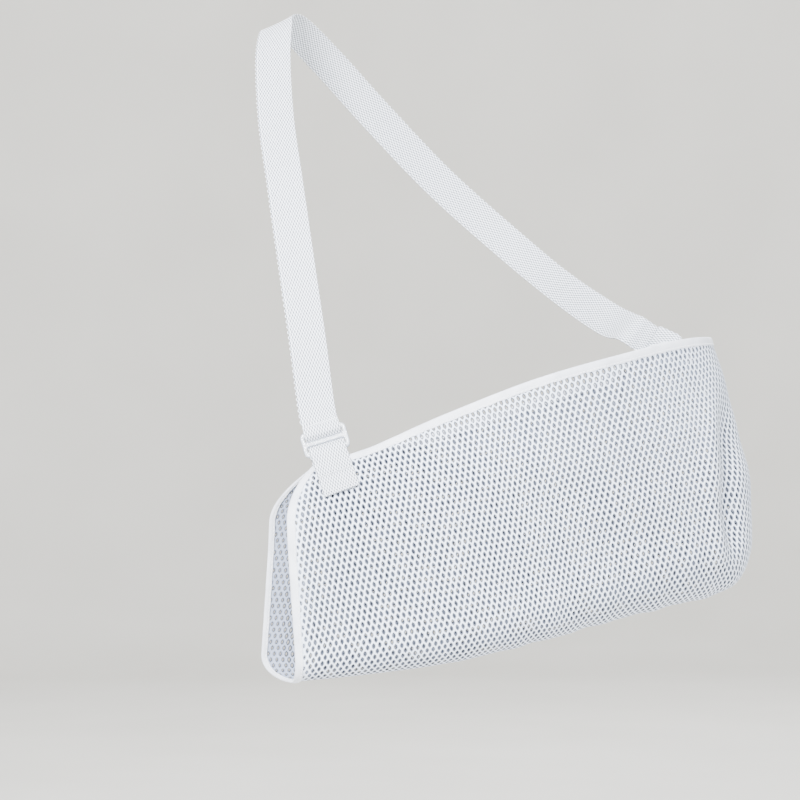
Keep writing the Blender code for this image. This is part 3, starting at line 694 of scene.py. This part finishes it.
def stitch_line(name, line, out, body, node):
    """A row of lock stitches: short rounded dashes that dip into the cloth at both ends."""
    run = lengths(line)
    count = max(int(run[-1] / (STITCH + STITCH_GAP)), 2)
    starts = np.linspace(0, run[-1] - STITCH, count)
    where = starts[:, None] + STITCH_PLACES[None, :] * STITCH
    centre = np.stack([np.interp(where, run, line[:, k]) for k in range(3)], -1)
    outward = unit(np.stack([np.interp(where, run, out[:, k]) for k in range(3)], -1))
    ahead = unit(np.gradient(centre, axis=1))
    beside = unit(np.cross(ahead, outward))
    outward = np.cross(beside, ahead)
    centre = centre + outward * (STITCH_RISES * THREAD_R)[None, :, None]
    rings, sides = len(STITCH_PLACES), 8
    turn = np.linspace(0, 2 * math.pi, sides, endpoint=False)
    around = np.cos(turn)[:, None] * beside[:, :, None] + np.sin(turn)[:, None] * outward[:, :, None]
    points = centre[:, :, None] + around * (STITCH_GIRTHS * THREAD_R)[None, :, None, None]
    tube = grid_faces(rings, sides, closed=True)
    cap = np.array(((0, 1, 6, 7), (1, 2, 5, 6), (2, 3, 4, 5)))
    one = np.concatenate([tube, cap, cap[:, ::-1] + (rings - 1) * sides])
    faces = one + np.arange(count)[:, None, None] * rings * sides
    obj = new_object(name, points.reshape(-1, 3), faces.reshape(-1, 4), THREAD)
    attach(obj, body)
    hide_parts(node)


def add_bindings():
    """Tapes on the mouth and round the hand opening, with their stitches inside and out."""
    for side, word in ((FRONT, "front"), (REAR, "rear")):
        u = np.linspace(TAPE_U + 0.006, 0.9992, 600)
        frames = edge_sections(u, 0 * u, side, u, 0 * u + TAPE_V)
        edge_tape("mouth_tape_" + word, frames, "top_binding_" + word, side)
        stitch_both("mouth_stitches_" + word, frames, "top_thread_" + word)
    count, change = 300, 30
    v = np.linspace(0, 1, count)
    front = edge_sections(0 * v, v, FRONT, 0 * v + TAPE_U, v)
    rear = edge_sections(0 * v, v, REAR, 0 * v + TAPE_U, v)
    frames = np.concatenate([front, rear[-2::-1]])
    share = np.interp(np.arange(len(frames)), (count - change, count + change), (1.0, REAR_TAPE_SHARE))
    frames = np.concatenate([frames, share[:, None]], 1)
    edge_tape("hand_opening_tape", frames, "hand_opening_binding", 2.0)
    stitch_both("hand_opening_stitches", frames, "hand_opening_thread")


def stitch_both(name, frames, node):
    """The needle's row of stitches on the outer face and on the inner one."""
    frames, _ = evenly(frames, 400, frames[:, :3])
    edge, into, out = frames[:, :3], unit(frames[:, 3:6]), unit(frames[:, 6:9])
    line = edge + into * TAPE_SEWN * share_of(frames)
    stitch_line(name + "_outer", line + out * TAPE_FACE, out, "pouch", node)
    stitch_line(name + "_inner", line - out * TAPE_FACE, -out, "pouch", node)


def add_seam():
    """Flat tape over the closed elbow end, with a row of stitches near each edge."""
    columns, sewn = 15, 2  # columns across the tape, and the stitches' from each edge
    v = np.linspace(TAPE_V + 0.004, 0.93, 190)
    sections = []
    for x in np.linspace(-1, 1, columns):
        rise = 0.00075 + 0.0002 * (1 - x * x)
        side = FRONT if x <= 0 else REAR
        sections.append(on_cloth(1 - SEAM_U * abs(x), v, side, np.full(len(v), rise)))
    top, out = (np.stack([section[k] for section in sections], 1) for k in (0, 1))
    points = np.concatenate([top, (top - out * 0.00045)[:, ::-1]], 1)
    run = lengths(top[:, columns // 2]) * 1000
    across = np.arange(2 * columns) * 0.65
    uv = np.stack(np.broadcast_arrays(run[:, None], across), -1).reshape(-1, 2)
    faces = grid_faces(len(v), 2 * columns, closed=True)[:, ::-1]
    obj = new_object("elbow_seam_binding", points.reshape(-1, 3), faces, TAPE, uv=uv)
    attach(obj, "pouch")
    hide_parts("elbow_seam_tape")
    for k, word in ((sewn, "front"), (columns - 1 - sewn, "rear")):
        stitch_line("elbow_seam_stitches_" + word, top[:, k], out[:, k], "pouch", "elbow_seam_thread")


# -------- webbing


def webbing(name, rows, body, node, start=0.0, thick=1.0, ends=True):
    """A length of webbing from rows of (left edge, right edge), woven in relief on both faces.

    start is the length of webbing before it, so that the weave runs on. It returns the length after it.
    """
    rows = np.asarray(rows, float)
    line = rows.mean(1)
    count = max(int(lengths(line)[-1] / WEAVE_ALONG * 3), 4)
    flat, total = evenly(rows.reshape(len(rows), 6), count, line)
    left, right = flat[:, :3], flat[:, 3:]
    across = unit(right - left)
    ahead = unit(np.gradient((left + right) / 2, axis=0))
    normal = unit(np.cross(across, ahead))
    columns = WEAVE_ACROSS * 4
    x = np.linspace(0, WEAVE_ACROSS, columns + 1)[None, :]
    y = (start + np.linspace(0, total, count))[:, None] / WEAVE_ALONG
    weave = np.cos(2 * math.pi * x) * np.cos(math.pi * y)
    edge = np.minimum(x, WEAVE_ACROSS - x)
    relief = WEB_RELIEF * np.sign(weave) * np.abs(weave) ** 0.75 * np.clip(edge / 0.5, 0, 1)
    half = WEB_BODY * thick * (0.55 + 0.45 * np.clip(edge / 0.8, 0, 1) ** 0.5)
    near = WEB_SCALLOP[0] * gauss(x, 1.1) * np.cos(math.pi * y)
    far = WEB_SCALLOP[1] * gauss(x - WEAVE_ACROSS, 1.1) * np.cos(math.pi * y + 2.2)
    centre = left[:, None] + (right - left)[:, None] * (x / WEAVE_ACROSS)[..., None]
    centre = centre + across[:, None] * (far - near)[..., None]
    top = centre + normal[:, None] * (half + relief)[..., None]
    low = centre - normal[:, None] * (half - relief)[..., None]
    points = np.concatenate([top, low[:, ::-1]], 1)
    n = points.shape[1]
    uv_x = np.concatenate([x, x[:, ::-1]], 1)
    uv_y = y + np.repeat([0, 1], columns + 1)[None, :]  # a float on one face dips on the other
    uv = np.stack(np.broadcast_arrays(uv_x, uv_y), -1)
    faces = grid_faces(count, n, closed=True)
    if ends:
        k = np.arange(columns)
        cap = np.stack([k, k + 1, n - 2 - k, n - 1 - k], -1)
        faces = np.concatenate([faces, cap, cap[:, ::-1] + (count - 1) * n])
    obj = new_object(name, points.reshape(-1, 3), faces, WEB, uv=uv.reshape(-1, 2))
    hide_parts(node)
    if body:
        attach(obj, body)
    return obj, start + total


def slider_axes():
    """The slider's own axes: across it, out of its back, and up it."""
    across = np.array((math.cos(SLIDER_ROLL), 0.0, math.sin(SLIDER_ROLL)))
    upright = np.array((-math.sin(SLIDER_ROLL), 0.0, math.cos(SLIDER_ROLL)))
    up = upright * math.cos(SLIDER_LEAN) + np.array((0.0, math.sin(SLIDER_LEAN), 0.0))
    return across, np.cross(up, across), up


def in_slider(x, y, z):
    """A point given in the slider's own axes about its centre."""
    across, back, up = slider_axes()
    return LOWER_BAR + up * BAR_PITCH + across * x + back * y + up * z


def edges(centre, across):
    """The webbing's two edges beside its centre."""
    return np.stack([centre - across * WEB_WIDTH / 2, centre + across * WEB_WIDTH / 2], -2)


def leaning(lean):
    """Down and across, for webbing that hangs leaning in the XZ plane."""
    return np.array((math.sin(lean), 0.0, -math.cos(lean))), np.array((math.cos(lean), 0.0, math.sin(lean)))


def patch_point(a, s, offset):
    """Point over the rear panel's elbow corner: a across the strap's end and s down along it."""
    right = a * math.cos(PATCH_SLANT) + s * math.sin(PATCH_SLANT)
    drop = s * math.cos(PATCH_SLANT) - a * math.sin(PATCH_SLANT)
    u = PATCH_U + right / PATCH_ARC
    v = max(drop, 0.0) / PANEL_HEIGHT * WALL_V
    base, _ = on_cloth(np.array([u]), np.array([v]), REAR, np.array([offset]))
    if drop < 0:
        up = unit(on_cloth([u], [0.0], REAR)[0] - on_cloth([u], [TAPE_V], REAR)[0])
        base = base - up * drop
    return base[0]


def patch_edges(s, offset):
    return [patch_point(a, s, offset) for a in (-WEB_WIDTH / 2, WEB_WIDTH / 2)]


def patch_frame():
    """The patch's top end: its middle, and the directions across, up and out of it."""
    left, right = patch_edges(-PATCH_ABOVE, SEWN_OFFSET)
    top = (left + right) / 2
    across = unit(right - left)
    rise = patch_point(0.0, -PATCH_ABOVE, SEWN_OFFSET) - patch_point(0.0, 0.006 - PATCH_ABOVE, SEWN_OFFSET)
    rise = unit(rise - across * rise.dot(across))
    return top, across, rise, np.cross(rise, across)


STRAP_STEPS = 40  # rows of points between two of the strap's control points


def strap_rows():
    """Edge points along the whole strap, from the slider to the elbow corner."""
    outer = -slider_axes()[1]
    entry = [(*in_slider(0.0, STRAP_OUT, z), *outer) for z in (0.0144, 0.0200)]
    top, patch_across, rise, normal = patch_frame()
    guide = (*(top + rise * 0.020 + normal * 0.003), *normal)
    last = (*(top + rise * PIVOT_GAP), *normal)
    controls = np.array([*entry, *STRAP_FRONT, *STRAP_BACK, guide, last])
    pieces = len(controls) - 1
    w = np.linspace(0, 1, pieces * STRAP_STEPS + 1)
    row = spline(controls, w)
    ahead = spline(controls, w + 0.002)[:, :3] - spline(controls, w - 0.002)[:, :3]
    across = unit(np.cross(ahead, row[:, 3:]))
    share = np.clip(1 - (pieces - w * pieces) * 5 / 12, 0, 1)[:, None]  # it turns to lie like the patch
    across = unit(across + (patch_across - across) * share)
    return edges(row[:, :3], across)


def add_strap():
    """The strap from the slider over the shoulder to the elbow, in lengths that follow their bodies."""
    rows = strap_rows()
    split = STRAP_STEPS * (2 + len(STRAP_FRONT) - 1)
    low = STRAP_STEPS * 2 + STRAP_STEPS // 4
    turn = len(rows) - int(STRAP_STEPS * 2.2)
    bend, run = webbing("strap_above_slider", rows[: low + 1], None, "strap_front_run", ends=False)
    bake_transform(bend)
    front, run = webbing("strap_front", rows[low : split + 1], None, "strap_front_run", run, ends=False)
    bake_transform(front)
    over = rows[split : turn + 1]
    _, run = webbing("strap_shoulder", over, "shoulder_strap", "strap_over_shoulder", run, ends=False)
    top, patch_across, rise, _ = patch_frame()
    last = [edges(top + rise * r, patch_across) for r in (0.0024, 0.0012, 0.0)]
    end = np.concatenate([rows[turn:], np.array(last)])
    corner, _ = webbing("strap_elbow_bend", end, None, "strap_over_shoulder", run, ends=False)
    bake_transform(corner)


def add_patch():
    """The strap's far end, sewn down beside the elbow seam with a crossed box of stitches."""
    rows = [patch_edges(s, SEWN_OFFSET - 0.0004) for s in np.linspace(-PATCH_ABOVE, PATCH_BELOW, 60)]
    webbing("strap_elbow_patch", rows, "pouch", "strap_elbow_end")
    half, top, low, steps = WEB_WIDTH / 2 - 0.0028, 0.010, PATCH_BELOW - 0.003, 12
    box = ((-half, top), (half, top), (half, low), (-half, low), (-half, top))
    cross = ((half, low), (half, top), (-half, low))
    route = np.array([*box, *cross])
    line, out = [], []
    for here, after in zip(route, route[1:]):
        for a, s in (here + (after - here) * k / steps for k in range(steps)):
            line.append(patch_point(a, s, SEWN_OFFSET + 0.00045))
            out.append(line[-1] - patch_point(a, s, SEWN_OFFSET - 0.001))
    stitch_line("elbow_patch_stitches", np.array(line), unit(np.array(out)), "pouch", "elbow_end_thread")


def add_slider_pass():
    """The strap's stretch through the slider."""
    route = (
        (STRAP_OUT, 0.0148), (STRAP_OUT, 0.0088), (-0.0022, 0.0064), (0.0, 0.0046), (0.0024, 0.0023),
        (-STRAP_OUT, 0.0003), (0.0032, -0.0022), (0.0047, -0.0056), (PASS_END_Y, -BAR_PITCH),
    )  # fmt: skip
    path = spline(route, np.linspace(0, 1, 90))
    rows = [edges(in_slider(0.0, y, z), slider_axes()[0]) for y, z in path]
    webbing("strap_through_slider", rows, "slider", "strap_slider_pass", ends=False)


def add_tab():
    """Webbing folded over the slider's lower bar and sewn through both panels."""
    down, right = leaning(TAB_LEAN)
    drops = np.linspace(TAB_DROP, 0.006, 90)
    flat = LOWER_BAR + edges(down * drops[:, None], right)
    pull = 0.0013 * gauss(drops - TAB_CREASE, 0.0012) + 0.0006 * gauss(drops - TAB_DROP + TAB_HEM, 0.0009)
    lift = SEWN_OFFSET - 0.0006 - pull[:, None]
    front, rear = (over_panel(flat[..., 0], flat[..., 2], side, lift) for side in (FRONT, REAR))
    across, back, up = slider_axes()
    angles = math.pi * (np.linspace(0, 1, 24) - 0.5) * 1.1
    swing = back * (np.sin(angles) * LOOP_R)[:, None] + up * (np.cos(angles) * LOOP_TALL)[:, None]
    loop = edges(LOWER_BAR + swing, across)
    webbing("slider_tab", np.concatenate([front, loop, rear[::-1]]), "pouch", "anchor_tab")
    for drop, word in ((TAB_CREASE, "upper"), (TAB_DROP - TAB_HEM, "lower")):
        line = LOWER_BAR + right * np.linspace(-0.0128, 0.0128, 30)[:, None] + down * drop
        line = over_panel(line[:, 0], line[:, 2], FRONT, SEWN_OFFSET + 0.00005)
        out = np.broadcast_to(np.array((0.0, -1.0, 0.0)), line.shape)
        stitch_line("tab_stitches_" + word, line, out, "pouch", "tab_thread")


def tail_rows(first, last, count, extra=0.0):
    """Edge points of the tail, from first to last down it, hanging behind the rear panel."""
    down, right = leaning(TAIL_LEAN)
    drops = np.linspace(first, last, count)
    flat = in_slider(0.0, PASS_END_Y, -BAR_PITCH) + edges(down * drops[:, None], right)
    clear = SEWN_OFFSET + WEB_THICK + 2 * GAP + 0.0012 + extra
    lying = over_panel(flat[..., 0], flat[..., 2], REAR, clear)
    flat[..., 1] += (lying[..., 1] - flat[..., 1]) * np.clip(drops / 0.005, 0, 1)[:, None]
    return flat


def add_tail():
    """The strap's free end behind the pouch, and its doubled hem."""
    rows = tail_rows(0.0, TAIL_LENGTH, 160)
    tail, run = webbing("strap_free_tail", rows, None, "strap_tail", ends=False)
    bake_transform(tail)
    start = TAIL_LENGTH + GAP
    hem = tail_rows(start - 2 * GAP, start + HEM_LENGTH, 60, 0.001)
    webbing("tail_folded_hem", hem, "tail_end", "tail_hem", run, thick=2.0)
    left, right = tail_rows(start + 0.005, start + 0.0051, 2, 0.0010 + WEB_THICK + 0.0001)[0]
    line = left + (right - left) * np.linspace(0.07, 0.93, 40)[:, None]
    out = np.broadcast_to(np.array((0.0, 1.0, 0.0)), line.shape)
    stitch_line("tail_stitches", line, out, "tail_end", "tail_thread")


# -------- slider


def rounded(width, height, radius, count=7):
    """Outline of a rectangle with rounded corners."""
    points = []
    for k, (sx, sy) in enumerate(((1, 1), (-1, 1), (-1, -1), (1, -1))):
        for m in range(count):
            angle = math.pi / 2 * (k + m / (count - 1))
            x = sx * (width / 2 - radius) + radius * math.cos(angle)
            y = sy * (height / 2 - radius) + radius * math.sin(angle)
            points.append((x, y))
    return points


def add_slider():
    """The three-bar slider: a flat plate with two slots, its corners and edges all rounded."""
    width, depth, height = SLIDER_SIZE
    edge, corner, slot_corner = 0.0007, 0.0045, 0.0014
    curve = bpy.data.curves.new("slider_outline", "CURVE")
    curve.dimensions = "2D"
    curve.fill_mode = "BOTH"
    curve.extrude = depth / 2 - edge
    curve.bevel_depth = edge
    curve.bevel_resolution = 3
    curve.offset = -edge
    slot = rounded(SLOT_LENGTH, BAR_PITCH - BAR_HEIGHT, slot_corner)
    outlines = ((rounded(width, height, corner), 0.0), (slot, BAR_PITCH / 2), (slot, -BAR_PITCH / 2))
    for points, offset in outlines:
        line = curve.splines.new("POLY")
        line.points.add(len(points) - 1)
        for place, (x, y) in zip(line.points, points):
            place.co = (x, y + offset, 0, 1)
        line.use_cyclic_u = True
    shape = bpy.data.objects.new("slider_outline", curve)
    bpy.context.scene.collection.objects.link(shape)
    bpy.context.view_layer.update()
    mesh = bpy.data.meshes.new_from_object(shape.evaluated_get(bpy.context.evaluated_depsgraph_get()))
    bpy.data.objects.remove(shape)
    across, back, up = (Vector(a) for a in slider_axes())
    turn = Matrix((across, up, -back)).transposed().to_4x4()
    mesh.transform(Matrix.Translation(Vector(in_slider(0, 0, 0))) @ turn)
    mesh.materials.clear()
    mesh.materials.append(PLASTIC)
    obj = bpy.data.objects.new("slider_buckle", mesh)
    bpy.context.scene.collection.objects.link(obj)
    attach(obj, "slider")
    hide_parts("slider")


# -------- setting


CAMERA_AT = (0.1045, -2.59, -0.3238)  # it looks level, along +Y
VIEW_HALF, VIEW_AWAY = 0.32, 2.4  # half the width of what it sees, that far away
FLOOR_Z = -0.85
SOFT_WHITE = (0.86, 0.90, 0.97, 1)
CENTRE = (0.2, -0.08, -0.35)
# Name, place, target, size in metres, power in watts, colour.
LAMPS = (
    ("key", (-0.75, -2.2, 1.0), CENTRE, 0.7, 400, (0.98, 0.99, 1.0)),
    ("fill", (1.9, -1.7, 0.1), CENTRE, 1.2, 110, (0.95, 0.975, 1.0)),
    ("top", (0.1, -0.6, 2.0), CENTRE, 1.0, 20, (1.0, 1.0, 1.0)),
    ("back", (1.2, 2.3, 1.3), CENTRE, 1.0, 80, (0.96, 0.98, 1.0)),
    ("wall", (0.2, 1.4, 2.6), (0.2, 4.3, -0.4), 1.6, 110, (1.0, 1.0, 1.0)),
)


def add_floor():
    """A round floor of pale paper that curves up into a wall on all sides."""
    nodes = Nodes("floor_paper", (0.60, 0.59, 0.56), 0.9)
    grain = noise(nodes, nodes.add("TexCoord").outputs["Object"], 3.0, 2.0)
    nodes.link(nodes.ramp(grain, ((0.3, (0.58, 0.57, 0.54)), (0.7, (0.62, 0.61, 0.58)))), "Base Color")
    flat, radius, wall, top, sides = 1.5, 1.2, 4.4, 4.5, 96
    profile = [(0.02, FLOOR_Z), (flat, FLOOR_Z)]
    for a in np.linspace(0, math.pi / 2, 14):
        profile.append((wall - radius + radius * math.sin(a), FLOOR_Z + radius * (1 - math.cos(a))))
    profile.append((wall, top))
    about = np.linspace(0, 2 * math.pi, sides, endpoint=False)
    points = [(CENTRE[0] + r * math.cos(a), r * math.sin(a), z) for r, z in profile for a in about]
    faces = grid_faces(len(profile), sides, closed=True)[:, ::-1]
    new_object("floor", np.array(points), faces, nodes.material)


def add_lights():
    """Soft studio light, which the camera doesn't see."""
    for name, place, target, size, power, colour in LAMPS:
        data = bpy.data.lights.new(name, "AREA")
        data.shape, data.size, data.energy, data.color = "SQUARE", size, power, colour
        obj = bpy.data.objects.new(name, data)
        obj.location = place
        obj.rotation_euler = (Vector(target) - Vector(place)).to_track_quat("-Z", "Y").to_euler()
        obj.visible_camera = False
        bpy.context.scene.collection.objects.link(obj)
    world = bpy.data.worlds.new("studio")
    world.use_nodes = True
    background = world.node_tree.nodes["Background"]
    background.inputs["Color"].default_value = SOFT_WHITE
    background.inputs["Strength"].default_value = 0.12
    bpy.context.scene.world = world


def add_camera():
    camera = bpy.data.cameras.new("camera")
    camera.sensor_width = 36
    camera.angle = 2 * math.atan(VIEW_HALF / VIEW_AWAY)
    view = bpy.data.objects.new("camera", camera)
    view.location = CAMERA_AT
    view.rotation_euler = (math.pi / 2, 0, 0)
    bpy.context.scene.collection.objects.link(view)
    bpy.context.scene.camera = view


def add_cloth():
    """The pouch's two panels, which are one sheet folded along the bottom."""
    for name, side in (("pouch_mesh_front", FRONT), ("pouch_mesh_rear", REAR)):
        cloth = cloth_panel(name, side)


add_floor()
add_lights()
add_camera()
add_cloth()
add_bindings()
add_seam()
add_slider()
add_slider_pass()
add_tab()
add_patch()
add_strap()
add_tail()
